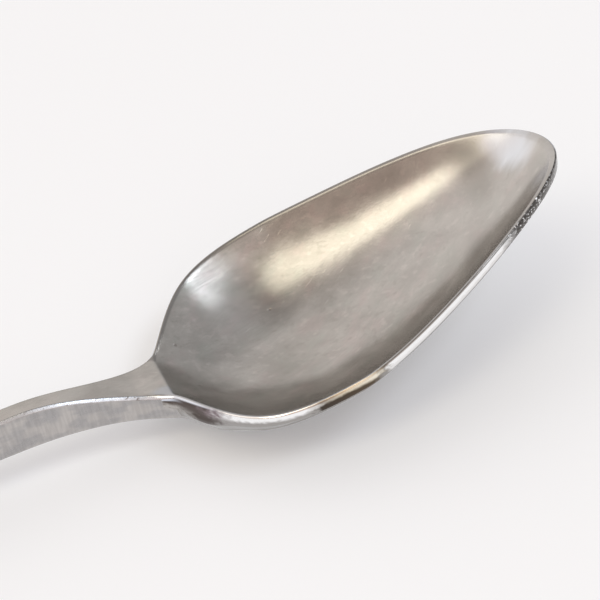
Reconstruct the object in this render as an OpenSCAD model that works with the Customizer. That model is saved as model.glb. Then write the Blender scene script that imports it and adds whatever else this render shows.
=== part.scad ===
// A plain teaspoon, struck and forged from one bar of metal, lying on a table.
// X runs along the spoon towards the tip of the bowl, Y across it and Z up.
// The origin is on the table, at the middle of the spoon's box.
// The bowl and the handle are two regions of the same metal, which meet at a
// plane square to X across the neck. Heights are measured from the table.

/* [Bowl] */
// Length from the neck plane to the tip of the bowl
bowl_l = 49.2; // [44:0.1:58]
// Width across the rim at its widest
bowl_w = 31; // [27:0.5:36]
// Distance from the neck plane to the widest place, which is also the deepest
widest_x = 20; // [17:0.5:23]
// Depth of the hollow below the rim at its deepest place
bowl_depth = 7.2; // [5.5:0.1:9]
// Thickness of the metal at the bottom of the bowl
bowl_wall = 1.3; // [0.9:0.1:2]
// Rise of the rim from the heel to the tip, as the spoon lies
tip_rise = 10.6; // [8:0.1:14]

/* [Rim] */
// Height of the polished side face of the rim
rim_face = 1.15; // [0.8:0.05:1.6]
// Width of the flat land on the rim along the sides
land_side = 0.65; // [0.5:0.05:1]
// Width of the land at the tip
land_tip = 1.05; // [0.7:0.05:1.4]
// Width of the rounding from the land into the hollow
lip_round = 0.45; // [0.3:0.05:0.5]
// Drop of that rounding
lip_drop = 0.28; // [0.1:0.02:0.36]

/* [Neck] */
// Width of the neck at the neck plane
neck_w = 5.2; // [4.4:0.1:6.4]
// Thickness of the neck at the neck plane
neck_t = 3.35; // [2.6:0.05:3.8]
// Distance from the neck plane to the edge of the hollow at the heel
heel_x = 3.1; // [2.4:0.1:4]
// Distance from the neck plane to the corner of the shoulders
shoulder_x = 3.1; // [2.6:0.1:3.8]
// Width of the bowl at the corner of the shoulders
shoulder_w = 8.5; // [7.6:0.1:10]
// Height of the ground side face at the corner of the shoulders
shoulder_face = 2.5; // [1.8:0.1:3]
// How far the underside lies inside the rim, below its side face
foot_inset = 0.8; // [0.4:0.1:1]

/* [Handle] */
// Length from the neck plane to the end of the handle
handle_l = 94; // [76:1:110]
// Distance from the neck plane to the narrowest place, at the top of the arch
arch_x = 12.5; // [11:0.5:16]
// Rise of the top of the arch above the dip of the rim at the heel
arch_rise = 2.9; // [2:0.1:6]
// Width of the stem at its narrowest
stem_w = 2.35; // [2:0.05:3.2]
// Thickness of the stem at its thickest
stem_t = 5; // [3.8:0.1:5.4]
// Width of the handle's flat end at its widest
end_w = 17.5; // [13:0.5:22]
// Thickness of the handle's flat end
end_t = 1.8; // [1.4:0.1:2.4]
// Distance from the end back to the widest place of the handle
end_round = 10; // [8:0.5:14]
// Polished bevel on the upper edges of the stem
stem_bevel = 0.3; // [0.15:0.05:0.4]

/* [Hidden] */

// Steps along each curve of the outline, and of the skins
shoulder_steps = 5;
flank_steps = 16;
tip_steps = 24;
hollow_steps = 15;
under_steps = 14;
stem_steps = 15;
blade_steps = 26;
end_steps = 12;
fall_steps = 60;
round_turns = [0, 30, 60, 90];

// Half widths
bowl_half = bowl_w / 2;
neck_half = neck_w / 2;
shoulder_half = shoulder_w / 2;
stem_half = stem_w / 2;
end_half = end_w / 2;

// Roundings and other lengths that follow the sizes above, as shares of them
under_round_share = 0.65;
face_round_share = 0.3;
face_start_share = 1.3;
face_grow_share = 0.5;
face_full_share = 1.55;
face_thin_share = 2.2;
face_thin_t_share = 1.3;
face_thin_slope_share = 0.5;
face_end_share = 0.5;
foot_full_share = 1.23;
foot_thin_share = 2.4;
foot_thin_t_share = 0.87;
foot_thin_slope_share = 0.2;
foot_end_share = 0.75;
foot_fall_share = 1.35;
inset_full_share = 1.25;
stem_slope_share = 0.5;
rim_bevel_share = 0.5;
lip_room_share = 0.8;
lip_shares = [0.5, 0.3];
neck_reach_share = 1.8;
saddle_reach_share = 2.6;
under_round = stem_half * under_round_share;

// How the sides are shaped, as shares of the sizes that they follow
neck_flare_share = 0.3;
neck_pull_share = 0.48;
shoulder_pull_share = 0.2;
shoulder_back_share = 0.1;
corner_in_shares = [2, 1];
shoulder_out_share = 0.46;
heel_turn_share = 0.09;
flank_out_share = 0.71;
widest_back_share = 0.54;
widest_fore_share = 0.17;
tip_round_share = 0.58;
stem_pull_share = 0.3;
blade_pull_share = 0.42;
blade_back_share = 0.24;
end_pull_share = 0.6;
end_blunt_share = 0.62;
oval_power = 6;
edge_start_share = 0.6;
wall_power = 2.3;
tip_wall_power = 2.8;
under_power = 2.6;
neck_ease_share = 0.3;

// Nodes of the top line seen from the side: place, height and slope.
// From the heel to the tip they are shares of the bowl's length and rise.
dip_share = 0.05;
belly_share = 0.39;
flank_share = 0.69;
belly_rise_share = 0.25;
flank_rise_share = 0.655;
dip_slope_share = 0.4;
belly_slope_share = 0.85;
flank_slope_share = 1.55;
tip_slope_share = 0.15;
neck_slope_share = 0.97;
neck_rise_share = 0.1;
end_slope_share = 0.9;

// Plan of the bowl's rim from the neck corner to the tip, one side
rim_plan = [
    [[0, neck_half],
     [shoulder_x * neck_pull_share, neck_half + shoulder_x * neck_pull_share * neck_flare_share],
     [shoulder_x * (1 - shoulder_back_share), shoulder_half - shoulder_x * shoulder_pull_share],
     [shoulder_x, shoulder_half]],
    [[shoulder_x, shoulder_half],
     [shoulder_x + (widest_x - shoulder_x) * (1 - flank_out_share),
      shoulder_half + (bowl_half - shoulder_half) * flank_out_share],
     [widest_x * (1 - widest_back_share), bowl_half],
     [widest_x, bowl_half]],
    [[widest_x, bowl_half],
     [widest_x + (bowl_l - widest_x) * widest_fore_share, bowl_half],
     [bowl_l, bowl_half * tip_round_share],
     [bowl_l, 0]]
];

// Plan of the edge of the hollow, a land's width inside the rim
hollow_half = bowl_half - land_side;
hollow_tip = bowl_l - land_tip;
heel_half = neck_half;
heel_corner = [shoulder_x, shoulder_half] + lip_round * corner_in_shares;
heel_turn = [(widest_x - shoulder_x) * (1 - flank_out_share), (bowl_half - shoulder_half) * flank_out_share]
    * (hollow_half - heel_corner[1]) / (bowl_half - shoulder_half);
hollow_plan = [
    [[heel_x, heel_half],
     [heel_x, heel_half + (heel_corner[1] - heel_half) * shoulder_out_share],
     heel_corner - heel_turn * heel_turn_share,
     heel_corner],
    [heel_corner,
     heel_corner + heel_turn,
     [widest_x * (1 - widest_back_share) + land_side, hollow_half],
     [widest_x, hollow_half]],
    [[widest_x, hollow_half],
     [widest_x + (hollow_tip - widest_x) * widest_fore_share, hollow_half],
     [hollow_tip, hollow_half * tip_round_share],
     [hollow_tip, 0]]
];

// Plan of the handle from the neck corner to the middle of its end, one side
handle_plan = [
    [[0, neck_half],
     [-arch_x * stem_pull_share, neck_half - arch_x * stem_pull_share * neck_flare_share],
     [-arch_x * (1 - stem_pull_share), stem_half],
     [-arch_x, stem_half]],
    [[-arch_x, stem_half],
     [-arch_x - (handle_l - arch_x) * blade_pull_share, stem_half],
     [-handle_l + end_round + (handle_l - arch_x) * blade_back_share, end_half],
     [-handle_l + end_round, end_half]],
    [[-handle_l + end_round, end_half],
     [-handle_l + end_round * (1 - end_pull_share), end_half],
     [-handle_l, end_half * end_blunt_share],
     [-handle_l, 0]]
];

// A point and the direction of a cubic curve through two ends, drawn by its four points
function bend(p, t) = pow(1 - t, 3) * p[0] + 3 * pow(1 - t, 2) * t * p[1]
    + 3 * (1 - t) * t * t * p[2] + pow(t, 3) * p[3];
function heading(p, t) = 3 * pow(1 - t, 2) * (p[1] - p[0]) + 6 * (1 - t) * t * (p[2] - p[1])
    + 3 * t * t * (p[3] - p[2]);
function unit(v) = v / norm(v);

// Each place on an outline, as [curve, share along it], from the neck to the middle
function places(steps) = [for (k = [0:len(steps) - 1], i = [0:steps[k] - 1]) [k, i / steps[k]],
    [len(steps) - 1, 1]];
rim_places = places([shoulder_steps, flank_steps, tip_steps]);
handle_places = places([stem_steps, blade_steps, end_steps]);

// A smooth height through nodes of [place, height, slope], by cubic curves
function through(nodes, x, k = 0) =
    k < len(nodes) - 2 && x > nodes[k + 1][0] ? through(nodes, x, k + 1)
    : let (a = nodes[k], b = nodes[k + 1], w = b[0] - a[0], t = (x - a[0]) / w)
        a[1] + t * w * a[2]
        + t * t * (3 * (b[1] - a[1]) - w * (2 * a[2] + b[2]))
        + t * t * t * (2 * (a[1] - b[1]) + w * (a[2] + b[2]));

// Rise of the rim above its dip, along the bowl
mean_slope = tip_rise / bowl_l;
rim_rise_nodes = [
    [bowl_l * dip_share, 0, mean_slope * dip_slope_share],
    [bowl_l * belly_share, tip_rise * belly_rise_share, mean_slope * belly_slope_share],
    [bowl_l * flank_share, tip_rise * flank_rise_share, mean_slope * flank_slope_share],
    [bowl_l, tip_rise, mean_slope * tip_slope_share]
];

// Depth of the side face below the top line, along the spoon. On the neck it is
// only the bevel, and the ground face of the rim grows out of it at the shoulders.
face_nodes = [
    [0, stem_bevel * face_start_share, shoulder_face / shoulder_x * face_grow_share],
    [shoulder_x * face_full_share, shoulder_face, 0],
    [shoulder_x * face_thin_share, rim_face * face_thin_t_share,
     -rim_face / shoulder_x * face_thin_slope_share],
    [widest_x * face_end_share, rim_face, 0],
    [bowl_l, rim_face, 0]
];
function face_t(x) = through(face_nodes, max(x, 0));

// Depth of the foot, where the underside starts, and how far inside the outline it lies
rim_foot = rim_face + foot_inset * foot_fall_share;
foot_nodes = [
    [-handle_l, end_t, 0],
    [-handle_l + end_round, end_t, 0],
    [-arch_x, stem_t, 0],
    [0, neck_t, -(stem_t - neck_t) / arch_x * stem_slope_share],
    [shoulder_x * face_full_share, neck_t * foot_full_share, 0],
    [shoulder_x * foot_thin_share, neck_t * foot_thin_t_share, -neck_t / shoulder_x * foot_thin_slope_share],
    [widest_x * foot_end_share, rim_foot, 0],
    [bowl_l, rim_foot, 0]
];
function foot_t(x) = through(foot_nodes, x);
inset_nodes = [
    [-handle_l, 0, 0],
    [0, 0, 0],
    [shoulder_x * face_full_share, foot_inset * inset_full_share, 0],
    [widest_x * face_end_share, foot_inset, 0],
    [bowl_l, foot_inset, 0]
];

// How far the underside and the hollow lie below the top line, at a share of
// the way from the middle of the bowl out to its edge. Away from that edge both
// follow an oval, so that no crease runs in from the corners of the heel or the tip.
full_depth = bowl_depth + bowl_wall;
under_inset = foot_inset + rim_face * face_round_share;
function ramp(t) = let (c = min(max(t, 0), 1)) c * c * (3 - 2 * c);
function oval_reach(d, back, fore, half) = norm([d[0] / (d[0] < 0 ? back : fore), d[1] / half]);
function smooth_reach(r, oval) = r + (oval - r) * (1 - pow(r, oval_power));
function hollow_power(x) = wall_power
    + (tip_wall_power - wall_power) * ramp((x - widest_x) / (hollow_tip - widest_x));
function hollow_below(r, x) = bowl_depth - (bowl_depth - lip_drop) * pow(r, hollow_power(x));
function eased(r, neck) = 1 - neck * pow(1 - min((1 - r) / neck_ease_share, 1), 2);
function swell(r, neck) = 1 - (1 - pow(r, under_power)) * eased(r, neck);
function under_below(r, edge_t, neck) = full_depth - (full_depth - rim_foot) * swell(r, neck)
    + (edge_t - rim_foot) * ramp((r - edge_start_share) / (1 - edge_start_share));

// How much a place belongs to the neck, on the sides and on the underside, where
// the stem sweeps into the bowl as a saddle
neck_reach = shoulder_x * neck_reach_share;
function neck_weight(x) = 1 - ramp(x / neck_reach);
saddle_reach = [shoulder_x, shoulder_half] * saddle_reach_share;
function saddle_weight(p) = (1 - ramp(p[0] / saddle_reach[0])) * (1 - ramp(abs(p[1]) / saddle_reach[1]));

// The spoon lies on the lowest place of the bowl's underside, so the rim's dip
// is as far above the table as the underside falls below it
dip_h = -min([for (x = [0, bowl_l - under_inset], i = [0:fall_steps]) let (s = i / fall_steps)
    through(rim_rise_nodes, widest_x + (x - widest_x) * s) - under_below(s, rim_foot, 0)]);

// The top line of the whole spoon, from the handle's end to the tip
arch_h = dip_h + arch_rise;
arch_slope = arch_rise / arch_x;
blade_slope = (arch_h - end_t) / (handle_l - arch_x);
top_nodes = concat(
    [[-handle_l, end_t, blade_slope * end_slope_share],
     [-arch_x, arch_h, 0],
     [0, dip_h + arch_rise * neck_rise_share, -arch_slope * neck_slope_share]],
    [for (n = rim_rise_nodes) [n[0], n[1] + dip_h, n[2]]]);
function top_h(x) = through(top_nodes, x);

// The side of the metal at one place of an outline, as points from the top
// edge down to the underside
function side_points(p, out, bevel, round_r) = let (
    z = top_h(p[0]),
    foot = p - out * through(inset_nodes, p[0]))
    [
        [each (p - out * bevel), z],
        [each p, z - bevel],
        [each p, z - face_t(p[0])],
        each [for (a = round_turns)
            [each (foot - out * round_r * (1 - cos(a))), z - foot_t(p[0]) + round_r * (1 - sin(a))]]
    ];

// The outward direction across an outline, square to the axis at the neck plane
function outward(plan, place, side) = place[0] == 0 && place[1] == 0 ? [0, side]
    : let (d = unit(heading(plan[place[0]], place[1]))) [d[1] * sign(plan[2][3][0]) * -1,
        abs(d[0]) * side];
function spot(plan, place, side) = let (p = bend(plan[place[0]], place[1])) [p[0], p[1] * side];

// The sides of the bowl from the neck corner at +Y round the tip to -Y
function bowl_side(place, side) = let (
    p = spot(rim_plan, place, side),
    w = neck_weight(p[0]))
    side_points(p, outward(rim_plan, place, side), stem_bevel * (w + (1 - w) * rim_bevel_share),
        under_round * w + rim_face * face_round_share * (1 - w));
bowl_sides = concat(
    [for (p = rim_places) bowl_side(p, 1)],
    [for (i = [len(rim_places) - 2:-1:0]) bowl_side(rim_places[i], -1)]);

// The sides of the handle, from its neck corner at +Y round the end to -Y
function handle_side(place, side) =
    side_points(spot(handle_plan, place, side), outward(handle_plan, place, side), stem_bevel, under_round);
handle_sides = concat(
    [for (p = handle_places) handle_side(p, 1)],
    [for (i = [len(handle_places) - 2:-1:0]) handle_side(handle_places[i], -1)]);

// Where the rows of the flat faces have points between the two sides
across_shares = [0.5, 0, -0.5];
function across(p) = [for (s = across_shares) [p[0], p[1] * s, p[2]]];
function back(list) = [for (i = [len(list) - 1:-1:0]) list[i]];
function last(list) = list[len(list) - 1];

// The section at the neck plane, which the bowl and the handle share
neck_side = bowl_sides[0];
other_side = last(bowl_sides);
neck_rows = [for (k = [0, len(neck_side) - 1]) concat([neck_side[k]], across(neck_side[k]), [other_side[k]])];

// Loops round the bowl, each closed by the neck plane's row
bowl_middle = [widest_x, 0];
top_loop = concat([for (s = bowl_sides) s[0]], back(across(neck_side[0])));
low_loop = concat([for (s = bowl_sides) last(s)], back(across(last(neck_side))));
heel_row = [for (s = across_shares) [heel_x, -heel_half * s]];
hollow_loop = concat(
    [for (p = rim_places) spot(hollow_plan, p, 1)],
    [for (i = [len(rim_places) - 2:-1:0]) spot(hollow_plan, rim_places[i], -1)],
    heel_row);

// A loop on the land: a distance out from the hollow's edge, and a share of the lip's drop
function land_loop(out_share, drop_share) = [for (i = [0:len(top_loop) - 1]) let (
    h = hollow_loop[i],
    o = [top_loop[i][0], top_loop[i][1]] - h,
    p = h + unit(o) * min(lip_round, norm(o) * lip_room_share) * out_share)
    [each p, top_h(p[0]) - lip_drop * drop_share]];
function hollow_ring(r) = [for (h = hollow_loop) let (
    d = (h - bowl_middle) * r,
    p = bowl_middle + d,
    reach = smooth_reach(r, oval_reach(d, widest_x - heel_x, hollow_tip - widest_x, hollow_half)))
    [each p, top_h(p[0]) - hollow_below(reach, h[0])]];
under_half = bowl_half - under_inset;
under_fore = bowl_l - under_inset - widest_x;
function under_ring(r) = [for (b = low_loop) let (
    d = ([b[0], b[1]] - bowl_middle) * r,
    p = bowl_middle + d,
    reach = smooth_reach(r, oval_reach(d, widest_x, under_fore, under_half)))
    [each p, top_h(p[0]) - under_below(reach, top_h(b[0]) - b[2], saddle_weight(p))]];

bowl_top = concat([top_loop, land_loop(1, 0), land_loop(lip_shares[0], lip_shares[1])],
    [for (i = [0:hollow_steps]) hollow_ring(1 - i / hollow_steps)]);
bowl_under = [for (i = [0:under_steps]) under_ring(1 - i / under_steps)];

// Rows across the handle, from its neck plane to its end
function handle_row(i, k) = let (p = handle_sides[i][k]) concat([p], across(p), [[p[0], -p[1], p[2]]]);
side_count = len(neck_side);
handle_top = [for (i = [0:len(handle_places) - 1]) handle_row(i, 0)];
handle_under = [for (i = [0:len(handle_places) - 1]) handle_row(i, side_count - 1)];

// A solid from skins. Each is a grid of points, with a flag for which way it
// faces and whether its rows close on themselves, and a fan is one flat face.
function grid_faces(rows, cols, start, flip, closed) = [
    for (r = [0:rows - 2], c = [0:(closed ? cols - 1 : cols - 2)]) let (
        a = start + r * cols + c,
        b = start + r * cols + (c + 1) % cols,
        d = a + cols,
        e = b + cols)
    each flip ? [[a, b, e], [a, e, d]] : [[a, e, b], [a, d, e]]];
function starts(skins, i) = i == 0 ? 0
    : starts(skins, i - 1) + len(skins[i - 1][0]) * len(skins[i - 1][0][0]);
function fan_faces(count, start, flip) = [for (i = [1:count - 2])
    flip ? [start, start + i + 1, start + i] : [start, start + i, start + i + 1]];
module skinned(skins, fans, flip) {
    points = [for (s = skins) for (row = s[0]) each row];
    size = len(fans[0]);
    faces = [for (i = [0:len(skins) - 1]) each
        grid_faces(len(skins[i][0]), len(skins[i][0][0]), starts(skins, i), skins[i][1], skins[i][2])];
    ends = [for (i = [0:len(fans) - 1]) each fan_faces(size, len(points) + i * size, flip)];
    polyhedron(concat(points, [for (f = fans) each f]), concat(faces, ends));
}

// Puts the spoon's box over the origin, from the neck plane's own frame
module laid_out() {
    translate([(handle_l - bowl_l) / 2, 0, 0]) children();
}

// The bowl, with its rim land, polished side face, hollow and underside
module bowl() {
    color("lightsteelblue")
    laid_out()
    skinned([[bowl_top, true, true], [bowl_sides, true, false], [bowl_under, false, true],
        [neck_rows, true, false]], [neck_side, back(other_side)], true);
}

// The handle, an arched stem that thins and widens into a flat rounded end
module handle() {
    color("silver")
    laid_out()
    skinned([[handle_top, true, false], [handle_sides, false, false], [handle_under, false, false],
        [neck_rows, false, false]], [neck_side, back(other_side)], false);
}

bowl();
handle();
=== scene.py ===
import math

import bpy
from mathutils import Matrix, Vector


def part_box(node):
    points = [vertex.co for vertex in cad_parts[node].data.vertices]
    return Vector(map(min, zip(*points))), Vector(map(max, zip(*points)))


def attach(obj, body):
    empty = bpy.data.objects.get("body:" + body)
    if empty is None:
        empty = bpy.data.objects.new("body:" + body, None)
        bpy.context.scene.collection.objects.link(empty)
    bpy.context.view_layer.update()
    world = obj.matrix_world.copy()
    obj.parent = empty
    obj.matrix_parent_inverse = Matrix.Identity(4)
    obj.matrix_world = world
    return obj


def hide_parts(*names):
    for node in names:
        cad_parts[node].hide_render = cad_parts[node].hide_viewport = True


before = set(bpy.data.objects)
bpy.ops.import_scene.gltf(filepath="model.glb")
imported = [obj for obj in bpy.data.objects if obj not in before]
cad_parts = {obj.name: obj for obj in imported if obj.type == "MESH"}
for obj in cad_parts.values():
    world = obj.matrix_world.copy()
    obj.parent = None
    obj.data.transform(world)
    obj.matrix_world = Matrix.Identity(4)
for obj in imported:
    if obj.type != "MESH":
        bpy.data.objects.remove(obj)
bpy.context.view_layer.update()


# The blank: the spoon is struck from one bar of metal, so the bowl and the
# handle are one skin. It is taken from the CAD nodes, without the plane across
# the neck where they meet, and its sharp edges are marked to stay crisp.
MM = 0.001
NECK_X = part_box("bowl")[0].x
SAME_PLACE = 0.001 * MM
QUAD_FOLD = math.radians(60)
QUAD_SKEW = math.radians(170)
SHARP_EDGE = math.radians(28)
SHARP_CREASE = 0.8

bpy.ops.object.select_all(action="DESELECT")
for node in ("bowl", "handle"):
    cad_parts[node].select_set(True)
bpy.context.view_layer.objects.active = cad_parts["bowl"]
bpy.ops.object.duplicate()
bpy.ops.object.join()
spoon = bpy.context.object
spoon.name = "spoon"


def on_neck_plane(face):
    return all(abs(spoon.data.vertices[v].co.x - NECK_X) < SAME_PLACE for v in face.vertices)


bpy.ops.object.mode_set(mode="EDIT")
bpy.ops.mesh.select_all(action="SELECT")
bpy.ops.mesh.remove_doubles(threshold=SAME_PLACE)
bpy.ops.mesh.select_mode(type="FACE")
bpy.ops.mesh.select_all(action="DESELECT")
bpy.ops.object.mode_set(mode="OBJECT")
for face in spoon.data.polygons:
    face.select = on_neck_plane(face)
bpy.ops.object.mode_set(mode="EDIT")
bpy.ops.mesh.delete(type="FACE")
bpy.ops.mesh.select_all(action="SELECT")
bpy.ops.mesh.tris_convert_to_quads(face_threshold=QUAD_FOLD, shape_threshold=QUAD_SKEW,
                                   topology_influence=1.0)
bpy.ops.mesh.select_all(action="DESELECT")
bpy.ops.mesh.select_mode(type="EDGE")
bpy.ops.mesh.edges_select_sharp(sharpness=SHARP_EDGE)
bpy.ops.transform.edge_crease(value=SHARP_CREASE)
bpy.ops.object.mode_set(mode="OBJECT")


# The finishes: the belt leaves the hollow, the top and the back satin. The wheel
# polishes the rim's side face and the bevel on the stem's edges, and the stem's
# flat sides keep the upright marks of the file.
BOWL_MIDDLE = Vector((NECK_X + 20 * MM, 0.0, 9 * MM))
SHOULDER_X = NECK_X + 1.8 * MM
LAND_FROM_X = NECK_X + 2 * MM
FILED_UP_TO_X = NECK_X + 6 * MM
# how much of a face's normal points up: a side's less, a bevel's between, the land's more
SIDE_BELOW, BEVEL_BELOW, LAND_ABOVE = 0.4, 0.9, 0.6
# how much of its level part points away from the middle of the bowl or stem
OUTWARD_ABOVE = 0.3
SATIN, POLISHED, FILED = range(3)

spoon.data.materials.clear()
for finish in ("satin_steel", "polished_edge", "filed_side"):
    material = bpy.data.materials.new(finish)
    material.use_nodes = True
    spoon.data.materials.append(material)


def faces_out(face):
    away = face.center - BOWL_MIDDLE if face.center.x > SHOULDER_X else Vector((0, face.center.y, 0))
    return face.normal.xy.dot(away.xy) > OUTWARD_ABOVE * away.xy.length


bevels = [face for face in spoon.data.polygons
          if SIDE_BELOW < face.normal.z < BEVEL_BELOW and faces_out(face)]
bevel_edges = {edge for face in bevels for edge in face.edge_keys}


def is_upright(face):
    return abs(face.normal.z) < SIDE_BELOW


def meets_bevel(face):
    return any(edge in bevel_edges for edge in face.edge_keys)


for face in spoon.data.polygons:
    side = is_upright(face) and faces_out(face)
    if face in bevels or (side and meets_bevel(face) and face.center.x > SHOULDER_X):
        face.material_index = POLISHED
    elif side and face.center.x < FILED_UP_TO_X:
        face.material_index = FILED
    else:
        face.material_index = SATIN


def add_attribute(name, value_at):
    """A number at each vertex of the spoon, for the finishes to read."""
    attribute = spoon.data.attributes.new(name, "FLOAT", "POINT")
    for vertex in spoon.data.vertices:
        attribute.data[vertex.index].value = value_at(vertex)


# down_edge is 0 on top of the bevel and 1 at the foot of the side face
BEVEL_FOOT = 0.3
on_bevel = {v for face in bevels for v in face.vertices}
on_side = {v for face in spoon.data.polygons if is_upright(face) for v in face.vertices}


def how_far_down(vertex):
    if vertex.index not in on_bevel:
        return 1.0
    return BEVEL_FOOT if vertex.index in on_side else 0.0


# brink is 1 where the narrow land on top of the rim rounds down into the hollow
land = [face for face in spoon.data.polygons if face not in bevels and face.normal.z > LAND_ABOVE
        and face.center.x > LAND_FROM_X and meets_bevel(face)]
brink = {v for face in land for v in face.vertices} - on_bevel
brink |= {v for face in spoon.data.polygons if not brink.isdisjoint(face.vertices)
          for v in face.vertices} - on_bevel
add_attribute("down_edge", how_far_down)
add_attribute("brink", lambda vertex: float(vertex.index in brink))

SMOOTH_BELOW = math.radians(35)
smooth = spoon.modifiers.new("smooth", "SUBSURF")
smooth.levels = smooth.render_levels = 2
bpy.ops.object.modifier_apply(modifier="smooth")
bpy.ops.object.shade_smooth_by_angle(angle=SMOOTH_BELOW)

# The attribute is 1 where the metal faces the table, and 0 on the sides and above; the satin is painted
# darker there, as painted shade
UNDERSIDE_STARTS, UNDERSIDE_FULL = 0.1, 0.1 + 1 / 3


def how_far_under(vertex):
    under = (-vertex.normal.z - UNDERSIDE_STARTS) / (UNDERSIDE_FULL - UNDERSIDE_STARTS)
    return min(1.0, max(0.0, under))


add_attribute("underside", how_far_under)
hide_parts("bowl", "handle")
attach(spoon, "root")


# Satin steel: stainless steel brushed by a fine belt, after years of use. Cloudy
# patches a few millimetres wide dull its reflections unevenly, faint pink and
# green stains lie in them, and stray scratches and a few nicks catch the light.
# Its colour also holds painted shade and painted light: darker underneath, along
# the near wall and beside the tip, brighter over the front half and at the tip,
# and in patches.
def linear(hex_colour):
    channels = [int(hex_colour[i:i + 2], 16) / 255 for i in (1, 3, 5)]
    return [c / 12.92 if c <= 0.04045 else ((c + 0.055) / 1.055) ** 2.4 for c in channels] + [1.0]


def add_node(tree, kind, settings=None, **sockets):
    """One node, with its settings and, by input name or _number, its values or links."""
    node = tree.nodes.new(kind)
    for name, value in (settings or {}).items():
        setattr(node, name, value)
    for name, value in sockets.items():
        socket = node.inputs[int(name[1:])] if name[1:].isdigit() else node.inputs[name.replace("_", " ")]
        if isinstance(value, bpy.types.NodeSocket):
            tree.links.new(value, socket)
        else:
            socket.default_value = value
    return node


def from_neck(millimetres):
    return NECK_X + millimetres * MM


def clouds(tree, sizes, turned=0.0, detail=2.0):
    """Random spots as long as sizes, in mm along X, Y and Z, and turned about Z."""
    place = add_node(tree, "ShaderNodeTexCoord").outputs["Object"]
    turn = add_node(tree, "ShaderNodeMapping", Vector=place, Rotation=(0.0, 0.0, math.radians(turned)))
    spots = add_node(tree, "ShaderNodeVectorMath", {"operation": "DIVIDE"}, _0=turn.outputs["Vector"],
                     _1=Vector(sizes) * MM)
    return add_node(tree, "ShaderNodeTexNoise", Vector=spots.outputs["Vector"], Scale=1.0,
                    Detail=detail).outputs["Fac"]


def spot(tree, centre, radius, soft):
    """A share for shown: full at a place in mm from the neck, fading out at its radius."""
    place = add_node(tree, "ShaderNodeTexCoord").outputs["Object"]
    away = add_node(tree, "ShaderNodeVectorMath", {"operation": "DISTANCE"}, _0=place,
                    _1=Vector(centre) * MM + Vector((NECK_X, 0, 0)))
    return away.outputs["Value"], radius * MM, radius * (1 - soft) * MM


def shown(tree, *shares):
    """How strongly a mark shows: its shares multiplied. A share is a number, a socket, or a socket
    with the value at which it starts, the value at which it is full and, if not 0, its least."""
    product = None
    for share in shares:
        if isinstance(share, tuple):
            value, start, full, least = (*share, 0.0)[:4]
            share = add_node(tree, "ShaderNodeMapRange", {"interpolation_type": "SMOOTHSTEP"}, Value=value,
                             From_Min=start, From_Max=full, To_Min=least).outputs["Result"]
        if product is not None:
            share = add_node(tree, "ShaderNodeMath", {"operation": "MULTIPLY"}, _0=product,
                             _1=share).outputs["Value"]
        product = share
    return product


def tint(tree, under, over, *shares):
    """One colour laid over another, as strongly as the shares say."""
    return add_node(tree, "ShaderNodeMix", {"data_type": "RGBA"}, _0=shown(tree, *shares), _6=under,
                    _7=over).outputs[2]


# tones for the painted shade and painted light in the hollow's reflections
PAINTED_SHADE = linear("#8b8782")
PAINTED_LIGHT = linear("#d0ccc8")
# between these two lies nearly all that a noise gives
NOISE_LOW, NOISE_HIGH = 0.3, 0.7
# painted shade and painted light in the hollow, patches that darken or brighten
# its reflections: where they lie in mm from the neck, their radius, softness, strength and colour
PAINTED_PATCHES = (((38.3, -3.4, 10.2), 3.4, 0.9, 0.55, PAINTED_SHADE), ((15.8, -0.2, 1.9), 4.8, 0.9, 0.45, PAINTED_SHADE),
           ((19.8, -4.6, 3.0), 4.2, 0.95, 0.3, PAINTED_LIGHT), ((43.6, -3.5, 14.0), 3.2, 0.95, 0.5, PAINTED_LIGHT),
           ((13.8, 7.9, 3.6), 4.5, 0.95, 0.35, PAINTED_LIGHT), ((47.6, 1.6, 16.6), 2.4, 0.95, 0.35, PAINTED_LIGHT))
# painted shade beside the painted highlight at the tip, darkening its reflection there, in the same order,
# all as soft
SHADE_BESIDE_TIP = (((41.9, 6.4, 14.4), 3.8, 0.95, 0.85, linear("#817d79")),
              ((41.8, 3.4, 12.8), 3.4, 0.95, 0.38, linear("#858078")),
              ((44.6, 5.4, 16.0), 2.2, 0.95, 0.55, linear("#adaebb")))
# nicks, on the places where the photo shows them, in mm from the neck
NICKS = ((5.9, 5.4, 5.5), (6.3, -0.6, 4.1), (17.3, 7.8, 3.4), (11.0, 2.5, 2.9), (24.0, 3.5, 4.2))

satin = bpy.data.materials["satin_steel"].node_tree
metal = satin.nodes["Principled BSDF"]
metal.inputs["Metallic"].default_value = 1.0
place = add_node(satin, "ShaderNodeSeparateXYZ",
                 Vector=add_node(satin, "ShaderNodeTexCoord").outputs["Object"]).outputs
# the belt's grit lines are 0.05 mm apart, and are drawn at 0.16 mm so that they show
grain = clouds(satin, (2.6, 0.16, 0.16), -12.0, 3.0)
cloud = clouds(satin, (4.0, 2.6, 2.6), 19.0, 4.0)
stain = clouds(satin, (3.0, 2.2, 2.2), -35.0, 3.0)
band = clouds(satin, (26.0, 1.5, 3.0), -19.0)
fleck = clouds(satin, (1.2, 0.8, 0.8), 12.0, 3.0)
# the handle is stained less than the bowl
used = (place["X"], from_neck(-2), from_neck(4), 0.3)
colour = tint(satin, linear("#a9a5a0"), linear("#b5b1ac"), (cloud, 0.35, 0.65))
colour = tint(satin, colour, linear("#b9aca9"), 0.4, (stain, 0.52, 0.7), used)
colour = tint(satin, colour, linear("#a6a9a2"), 0.35, (stain, 0.48, 0.3), used)
colour = tint(satin, colour, linear("#8f8b87"), 0.16, (band, 0.65, 0.35))
colour = tint(satin, colour, linear("#6f6c69"), 0.08, (grain, 0.7, 0.3))
colour = tint(satin, colour, linear("#cdc6c1"), 0.24, (fleck, 0.56, 0.72), used)
colour = tint(satin, colour, linear("#8e8a83"), 0.25, (fleck, 0.42, 0.28), used)
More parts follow.
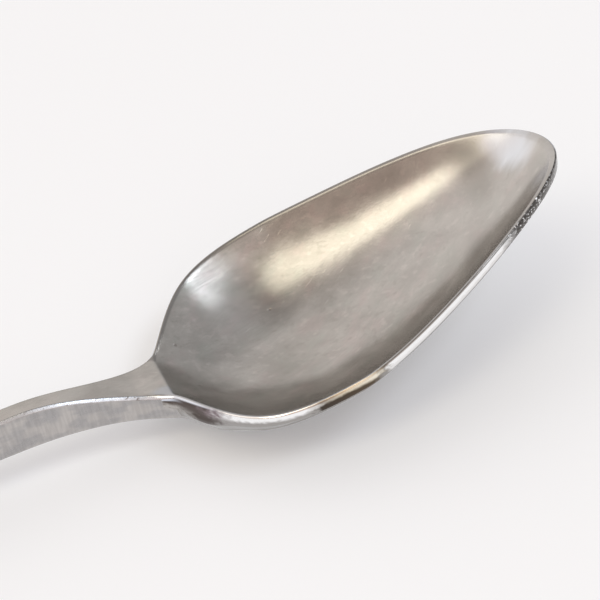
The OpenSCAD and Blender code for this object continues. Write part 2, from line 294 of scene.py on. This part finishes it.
# painted light: the front half is painted brighter than the heel, but not its near wall
colour = tint(satin, colour, PAINTED_LIGHT, 0.3, (place["X"], from_neck(22), from_neck(44)),
              (place["Y"], -8 * MM, -1 * MM))
# painted shade: the near wall of the front half is darker, widening the dark band of its reflection
colour = tint(satin, colour, PAINTED_SHADE, 0.35, (place["X"], from_neck(26), from_neck(32)),
              (place["X"], from_neck(43), from_neck(40)), (place["Y"], -3.5 * MM, -7 * MM))
for centre, radius, soft, strength, tone in PAINTED_PATCHES:
    colour = tint(satin, colour, tone, strength, spot(satin, centre, radius, soft))
# painted shade under the spoon: the satin is darker where the metal faces the table
underside = add_node(satin, "ShaderNodeAttribute", {"attribute_name": "underside"}).outputs["Fac"]
colour = tint(satin, colour, linear("#7b7773"), 0.6, underside)
# stray scratches in some places, drawn a little wider than real so that they show
scratched = (clouds(satin, (4.0, 4.0, 4.0)), 0.46, 0.62)
strays = shown(satin, (clouds(satin, (1.9, 0.13, 0.8), -24.0, 0.0), 0.76, 0.88), scratched)
crossing = shown(satin, (clouds(satin, (1.3, 0.12, 0.8), 38.0, 0.0), 0.82, 0.96), scratched)
cuts = add_node(satin, "ShaderNodeMath", {"operation": "MAXIMUM"}, _0=strays, _1=crossing).outputs["Value"]
colour = tint(satin, colour, linear("#e0ddd9"), 0.22, cuts)
# a nick has a bright burr beside a dark pit, which is cut three times as deep as a scratch
for x, y, z in NICKS:
    pit = spot(satin, (x, y, z), 0.26, 0.6)
    burr = spot(satin, (x - 0.2, y + 0.14, z), 0.2, 0.7)
    colour = tint(satin, colour, linear("#6d5f5c"), 0.45, pit)
    colour = tint(satin, colour, linear("#f4f1ee"), 0.5, burr)
    cuts = add_node(satin, "ShaderNodeMath", {"operation": "MULTIPLY_ADD"}, _0=shown(satin, pit), _1=3.0,
                    _2=cuts).outputs["Value"]
# painted highlight: the tip is painted brighter and cooler, in a patch with a ragged edge, between patches
# of painted shade
raggedness = add_node(satin, "ShaderNodeMapRange", {"interpolation_type": "SMOOTHSTEP"}, Value=band,
                      From_Min=NOISE_LOW, From_Max=NOISE_HIGH, To_Min=-0.12, To_Max=0.12)
tip = add_node(satin, "ShaderNodeMath", {"operation": "ADD"}, _1=raggedness.outputs["Result"],
               _0=shown(satin, spot(satin, (45.9, 3.4, 15.8), 4.4, 0.95)))
colour = tint(satin, colour, linear("#e5e9f0"), 0.8, (tip.outputs["Value"], 0.05, 1.0))
for centre, radius, soft, strength, tone in SHADE_BESIDE_TIP:
    colour = tint(satin, colour, tone, strength, spot(satin, centre, radius, soft))
# painted shade: the brink is painted darker, most on the far side, so it doesn't draw a bright reflected
# line round the hollow
brink_shade = add_node(satin, "ShaderNodeAttribute", {"attribute_name": "brink"}).outputs["Fac"]
dull = tint(satin, linear("#aeafb3"), linear("#86827f"), (place["Y"], -1 * MM, 1 * MM))
colour = tint(satin, colour, dull, 0.8, (brink_shade, 0.1, 0.6),
              (place["X"], from_neck(44), from_neck(36), 0.1875))
satin.links.new(colour, metal.inputs["Base Color"])
roughness = add_node(satin, "ShaderNodeMath", {"operation": "MULTIPLY_ADD"}, _0=cloud, _1=0.12, _2=0.17)
satin.links.new(roughness.outputs["Value"], metal.inputs["Roughness"])
ripple = add_node(satin, "ShaderNodeBump", Strength=1.0, Distance=0.005 * MM, Height=cloud)
fine = add_node(satin, "ShaderNodeBump", Strength=1.0, Distance=0.0028 * MM, Height=grain,
                Normal=ripple.outputs["Normal"])
marks = add_node(satin, "ShaderNodeBump", {"invert": True}, Strength=1.0, Distance=0.005 * MM, Height=cuts,
                 Normal=fine.outputs["Normal"])
satin.links.new(marks.outputs["Normal"], metal.inputs["Normal"])


# Polished edge: the wheel's bright finish on the rim and the bevels, with small
# dents. Along the near rim its colour is painted with reflections: white, dark by
# the shoulder and brown under the widest part. Near the tip it is pitted, as the
# edge wears on pans and other spoons.
RIM_LENGTH = 50 * MM
RAGGED_BY = 2.4 * MM
# painted reflection and shade on the near rim's upper and lower half, white, dark or brown, from the neck
# at 0 to the tip at 1; the dark stretch near the tip is the pitted metal
UPPER_PAINTED_REFLECTION = ((0.0, "#c5c1bd"), (0.02, "#b5b0ab"), (0.04, "#564b45"), (0.09, "#5b514d"),
              (0.11, "#8b7d80"), (0.14, "#fdfcfb"), (0.27, "#fdfcfb"), (0.31, "#a9a298"),
              (0.36, "#e0d3bb"), (0.425, "#f5ecda"), (0.445, "#a29b92"), (0.465, "#fefdfc"),
              (0.76, "#fefdfc"), (0.815, "#4a4642"), (0.93, "#625e5a"), (1.0, "#c5c1bd"))
LOWER_PAINTED_REFLECTION = ((0.0, "#c5c0bb"), (0.055, "#b5b0ab"), (0.085, "#4d433d"), (0.105, "#524844"),
              (0.13, "#a39f9c"), (0.285, "#a7a39f"), (0.31, "#4a423b"), (0.42, "#5f5244"),
              (0.45, "#a09c98"), (0.47, "#efedeb"), (0.76, "#e9e6e4"), (0.815, "#5f5b57"),
              (0.93, "#76726e"), (1.0, "#a09c98"))

polish = bpy.data.materials["polished_edge"].node_tree
metal = polish.nodes["Principled BSDF"]
metal.inputs["Metallic"].default_value = 1.0
place = add_node(polish, "ShaderNodeSeparateXYZ",
                 Vector=add_node(polish, "ShaderNodeTexCoord").outputs["Object"]).outputs
down = add_node(polish, "ShaderNodeAttribute", {"attribute_name": "down_edge"}).outputs["Fac"]
ragged = clouds(polish, (0.7, 0.7, 0.4), 0.0, 4.0)
# along runs from 0 to 1, and its raggedness gives the painted reflections ragged borders
shifted = add_node(polish, "ShaderNodeMath", {"operation": "MULTIPLY_ADD"}, _0=ragged, _1=RAGGED_BY,
                   _2=place["X"])
along = add_node(polish, "ShaderNodeMapRange", Value=shifted.outputs["Value"],
                 From_Min=NECK_X + RAGGED_BY / 2,
                 From_Max=NECK_X + RAGGED_BY / 2 + RIM_LENGTH).outputs["Result"]
halves = []
for stops in (UPPER_PAINTED_REFLECTION, LOWER_PAINTED_REFLECTION):
    half = add_node(polish, "ShaderNodeValToRGB", Fac=along)
    for position, _ in stops[1:-1]:
        half.color_ramp.elements.new(position)
    for element, (position, tone) in zip(half.color_ramp.elements, stops):
        element.position = position
        element.color = linear(tone)
    halves.append(half.outputs["Color"])
upper, lower = halves
# the lower half starts at a ragged line, which climbs over the brown stretch of painted reflection
brown_reflection = shown(polish, 0.16, (along, 0.27, 0.32), (along, 0.44, 0.36))
raggedness = add_node(polish, "ShaderNodeMapRange", {"interpolation_type": "SMOOTHSTEP"}, Value=ragged,
                      From_Min=NOISE_LOW, From_Max=NOISE_HIGH, To_Min=-0.05,
                      To_Max=0.05).outputs["Result"]
low = add_node(polish, "ShaderNodeMath", {"operation": "ADD"}, _0=down, _1=brown_reflection).outputs["Value"]
low = add_node(polish, "ShaderNodeMath", {"operation": "ADD"}, _0=low, _1=raggedness).outputs["Value"]
colour = tint(polish, upper, lower, (low, 0.5, 0.8))
# a painted dark line lies under the brink of the front half, and the foot of the rim is painted grey, both
# as painted shade in its reflection
colour = tint(polish, colour, linear("#524e4b"), 0.9, (down, 0.35, 0.15),
              (place["X"], from_neck(19), from_neck(23)))
colour = tint(polish, colour, linear("#7d7976"), 0.85, (down, 0.84, 0.97), (along, 0.44, 0.5))
# painted highlight: the stem's bevel is painted white past the neck, over the painted dark wedge
narrow = shown(polish, (down, 0.32, 0.2), (place["X"], from_neck(7), from_neck(4)))
wide = shown(polish, (down, 0.5, 0.36), (place["X"], from_neck(3.6), from_neck(2.2)))
bevel_highlight = add_node(polish, "ShaderNodeMath", {"operation": "MAXIMUM"}, _0=narrow, _1=wide).outputs["Value"]
colour = tint(polish, colour, linear("#e2e6f0"), bevel_highlight)
# the stem and the far rim get none of the near rim's painted reflection, only a plain bright colour, near
# white on the far rim
bright = tint(polish, linear("#d3d7de"), linear("#a2a4a9"), 0.5, (ragged, 0.35, 0.7))
bright = tint(polish, bright, linear("#a19f9d"), 0.6, (place["X"], from_neck(-5), from_neck(-14)))
bright = tint(polish, bright, linear("#fdfcfb"), 0.9, (place["Y"], 3 * MM, 6 * MM))
near = (place["Y"], 0.0, -2 * MM)
colour = tint(polish, bright, colour, near, (place["X"], NECK_X, from_neck(1.5)))
# knocks have chipped the stem's bevel by the neck, and dirt sits in the chips
colour = tint(polish, colour, linear("#716762"), 0.8, (clouds(polish, (0.5, 0.3, 0.3)), 0.58, 0.68),
              (place["X"], from_neck(-14), from_neck(-2), 0.3125), (place["X"], from_neck(3), from_neck(1)))
# pits near the tip, bright burrs on dark metal, drawn at 0.3 mm, about twice their size
pitted = shown(polish, near, (along, 0.765, 0.815), (along, 0.96, 0.88, 0.3))
burrs = shown(polish, pitted, (clouds(polish, (0.3, 0.3, 0.22), 0.0, 3.0), 0.53, 0.67))
colour = tint(polish, colour, linear("#fbfaf9"), burrs)
polish.links.new(colour, metal.inputs["Base Color"])
# the polish is uneven, and poorer by the neck and on the pits
uneven = add_node(polish, "ShaderNodeMapRange", {"interpolation_type": "SMOOTHSTEP"}, Value=ragged,
                  From_Min=NOISE_LOW, From_Max=NOISE_HIGH, To_Min=0.07, To_Max=0.18).outputs["Result"]
by_neck = shown(polish, 0.16, (place["X"], from_neck(5), from_neck(2)))
poorer = add_node(polish, "ShaderNodeMath", {"operation": "ADD"}, _0=uneven, _1=by_neck).outputs["Value"]
roughness = add_node(polish, "ShaderNodeMath", {"operation": "MULTIPLY_ADD"}, _0=pitted, _1=0.25, _2=poorer)
polish.links.new(roughness.outputs["Value"], metal.inputs["Roughness"])
dents = add_node(polish, "ShaderNodeBump", Strength=1.0, Distance=0.008 * MM,
                 Height=clouds(polish, (1.2, 1.2, 0.8), 0.0, 3.0))
pits = add_node(polish, "ShaderNodeBump", Strength=1.0, Distance=0.03 * MM, Height=burrs,
                Normal=dents.outputs["Normal"])
polish.links.new(pits.outputs["Normal"], metal.inputs["Normal"])


# Filed side: the flat sides of the stem, left as the file cut them. They show
# upright marks, drawn at 0.3 mm where a smooth file leaves 0.15 mm, and dull
# blotches between them.
filed = bpy.data.materials["filed_side"].node_tree
metal = filed.nodes["Principled BSDF"]
metal.inputs["Metallic"].default_value = 1.0
strokes = clouds(filed, (0.3, 0.3, 2.4), 0.0, 4.0)
blotch = clouds(filed, (2.5, 2.5, 1.2), 0.0, 3.0)
colour = tint(filed, linear("#afacab"), linear("#c5c0bc"), (blotch, 0.35, 0.65))
colour = tint(filed, colour, linear("#837f7d"), 0.25, (strokes, 0.7, 0.3))
filed.links.new(colour, metal.inputs["Base Color"])
roughness = add_node(filed, "ShaderNodeMapRange", {"interpolation_type": "SMOOTHSTEP"}, Value=blotch,
                     From_Min=NOISE_LOW, From_Max=NOISE_HIGH, To_Min=0.26, To_Max=0.38)
filed.links.new(roughness.outputs["Result"], metal.inputs["Roughness"])
bump = add_node(filed, "ShaderNodeBump", Strength=1.0, Distance=0.008 * MM, Height=strokes)
filed.links.new(bump.outputs["Normal"], metal.inputs["Normal"])


# The table: a plain near-white top that the spoon lies on, big enough that no
# edge of it shows. The camera and the metal's reflections see it partly as plain
# white, and it keeps the spoon's shadow.
TABLE_SIZE = 6.0
WHITE_TO_CAMERA, WHITE_TO_METAL = 0.25, 0.8

bpy.ops.object.select_all(action="DESELECT")
bpy.ops.mesh.primitive_plane_add(size=TABLE_SIZE, location=(0.0, 0.0, 0.0))
table = bpy.context.object
table.name = "table"
white_top = bpy.data.materials.new("white_table_top")
white_top.use_nodes = True
top = white_top.node_tree
top.nodes["Principled BSDF"].inputs["Base Color"].default_value = linear("#f2f3f6")
top.nodes["Principled BSDF"].inputs["Roughness"].default_value = 0.9
path = add_node(top, "ShaderNodeLightPath").outputs
to_camera = add_node(top, "ShaderNodeMath", {"operation": "MULTIPLY"}, _0=path["Is Camera Ray"],
                     _1=WHITE_TO_CAMERA)
share = add_node(top, "ShaderNodeMath", {"operation": "MULTIPLY_ADD"}, _0=path["Is Glossy Ray"],
                 _1=WHITE_TO_METAL, _2=to_camera.outputs["Value"])
plain_white = add_node(top, "ShaderNodeEmission", Color=linear("#f6f6f8"), Strength=1.0)
both = add_node(top, "ShaderNodeMixShader", _0=share.outputs["Value"],
                _1=top.nodes["Principled BSDF"].outputs["BSDF"], _2=plain_white.outputs["Emission"])
top.links.new(both.outputs["Shader"], top.nodes["Material Output"].inputs["Surface"])
table.data.materials.append(white_top)


# The room: a pale wall behind on the left, a dim brown one in front on the left,
# a grey one on the right, a bright pane in front, and a dark ceiling. The camera
# itself sees white beyond the table.
WHITE_BEYOND = (0.95, 0.94, 0.94, 1.0)
# where each lies, how closely a ray has to point there to see any of it, and its light
SURFACES = (((-0.5, 0.75, 0.43), 0.2, (1.06, 1.02, 0.99, 1.0)),
            ((-0.45, -0.8, 0.4), 0.2, (0.62, 0.5, 0.44, 1.0)),
            ((0.9, 0.1, 0.4), 0.2, (0.62, 0.62, 0.63, 1.0)),
            ((0.2, -0.8, 0.55), 0.85, (0.65, 0.65, 0.65, 1.0)),
            ((0.0, 0.0, 1.0), 0.4, (0.05, 0.045, 0.045, 1.0)))

world = bpy.data.worlds.new("room")
bpy.context.scene.world = world
world.use_nodes = True
room = world.node_tree
direction = add_node(room, "ShaderNodeTexCoord").outputs["Generated"]
light = (0.0, 0.0, 0.0, 1.0)
for towards, starts, glow in SURFACES:
    facing = add_node(room, "ShaderNodeVectorMath", {"operation": "DOT_PRODUCT"}, _0=direction,
                      _1=Vector(towards).normalized()).outputs["Value"]
    light = add_node(room, "ShaderNodeMix", {"data_type": "RGBA", "blend_type": "ADD"},
                     _0=shown(room, (facing, starts, 1.0)), _6=light, _7=glow).outputs[2]
seen = add_node(room, "ShaderNodeLightPath").outputs["Is Camera Ray"]
light = tint(room, light, WHITE_BEYOND, seen)
room.links.new(light, room.nodes["Background"].inputs["Color"])


# The lamps: a long warm softbox over the spoon on the left, and a cooler window
# to the right in front. Both hang so far off that they light the table evenly.
LAMP_DISTANCE = 1.5


def lamp(name, towards, long_way, long, wide, radiance):
    """A flat lamp in a direction from the bowl, whose long side runs towards long_way."""
    out = Vector(towards).normalized()
    along = Vector(long_way)
    along = (along - out * along.dot(out)).normalized()
    light = bpy.data.lights.new(name, "AREA")
    light.shape = "RECTANGLE"
    light.size = long
    light.size_y = wide
    light.color = [c / max(radiance) for c in radiance]
    light.energy = max(radiance) * math.pi * long * wide
    box = bpy.data.objects.new(name, light)
    bpy.context.scene.collection.objects.link(box)
    turn = Matrix((along, out.cross(along), out)).transposed().to_4x4()
    box.matrix_world = Matrix.Translation(BOWL_MIDDLE + out * LAMP_DISTANCE) @ turn


lamp("warm_softbox", (-0.425, -0.288, 0.859), (0.904, -0.079, 0.422), 1.36, 0.52, (2.1, 2.03, 1.68))
lamp("right_window", (0.475, -0.4, 0.785), (0.724, 0.689, -0.027), 0.72, 0.38, (4.9, 5.4, 5.9))


# The camera: near and above the spoon on its right-hand side, rolled so that
# the spoon rises across the picture, with a long lens.
AZIMUTH = math.radians(-13)
ELEVATION = math.radians(38)
ROLL = math.radians(13)
DISTANCE = 240 * MM
PICTURE = 600
FOCAL_PIXELS = 2296.8
LOOKED_AT = Vector((from_neck(19), 0.0, 9.452 * MM))

camera_data = bpy.data.cameras.new("camera")
camera_data.sensor_width = 36.0
camera_data.lens = camera_data.sensor_width * FOCAL_PIXELS / PICTURE
camera_data.clip_start = 0.01
camera = bpy.data.objects.new("camera", camera_data)
bpy.context.scene.collection.objects.link(camera)
turn = (Matrix.Rotation(AZIMUTH, 4, "Z") @ Matrix.Rotation(math.radians(90) - ELEVATION, 4, "X")
        @ Matrix.Rotation(-ROLL, 4, "Z"))
camera.matrix_world = Matrix.Translation(LOOKED_AT + turn.to_3x3() @ Vector((0, 0, DISTANCE))) @ turn
bpy.context.scene.camera = camera
bpy.context.scene.view_settings.view_transform = "Standard"
